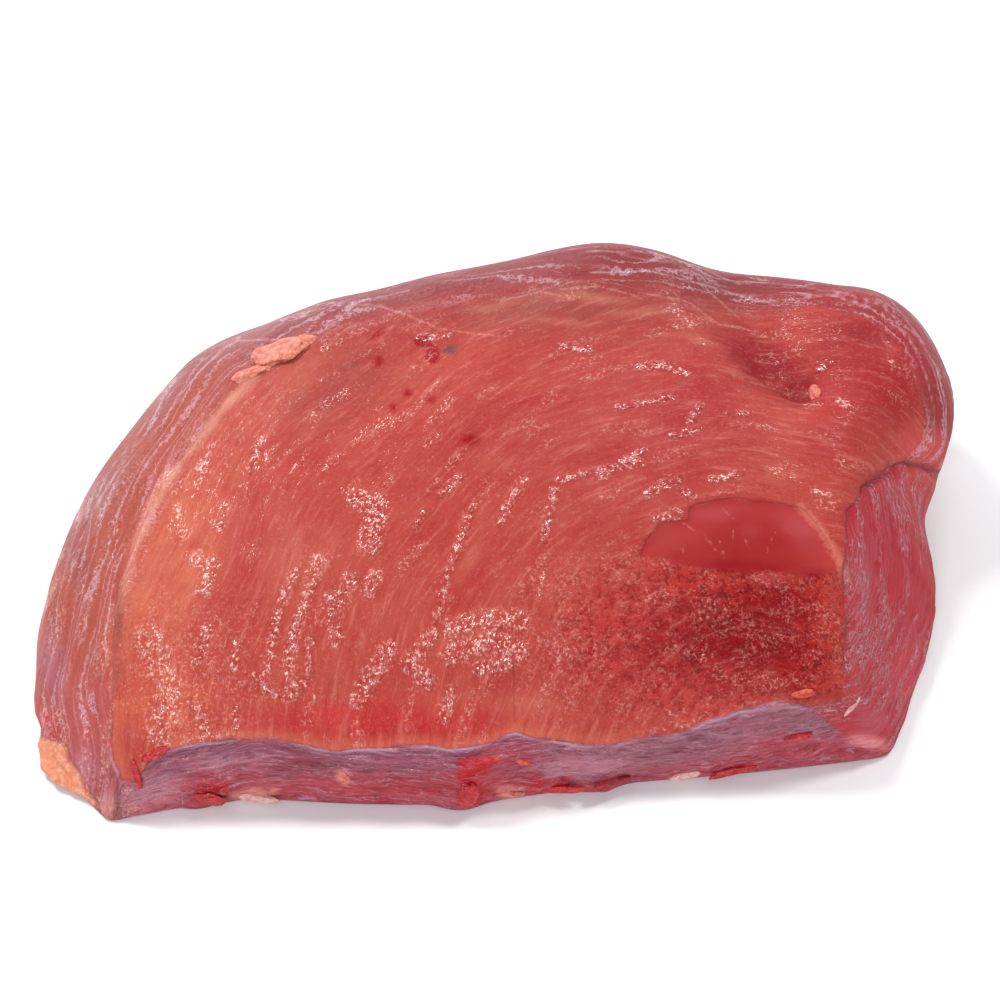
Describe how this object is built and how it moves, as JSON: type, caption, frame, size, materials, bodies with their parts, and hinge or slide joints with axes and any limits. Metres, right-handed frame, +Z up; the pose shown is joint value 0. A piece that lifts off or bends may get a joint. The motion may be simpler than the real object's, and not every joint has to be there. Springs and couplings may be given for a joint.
{
  "type": "raw pork topside",
  "caption": "Raw boneless pork leg joint: a low trimmed block of lean meat with a domed top, a cut front face, a long rolled side and a flat underside that it lies on.",
  "frame": {"origin": "middle of the block's box in plan, on the flat underside", "axes": "+X along the block's length from the pointed corner's side to the lobe's side, +Y from the front cut face to the rounded back, +Z up"},
  "size_m": [0.245, 0.162, 0.07],
  "materials": {
    "lean_meat": "moist raw pork, salmon red with fine diagonal fibres, small wet glints, mauve silverskin on the sides, a dark red trimmed patch at the right and a little orange fat"
  },
  "bodies": {
    "root": {"topside": "lean_meat"}
  },
  "joints": []
}
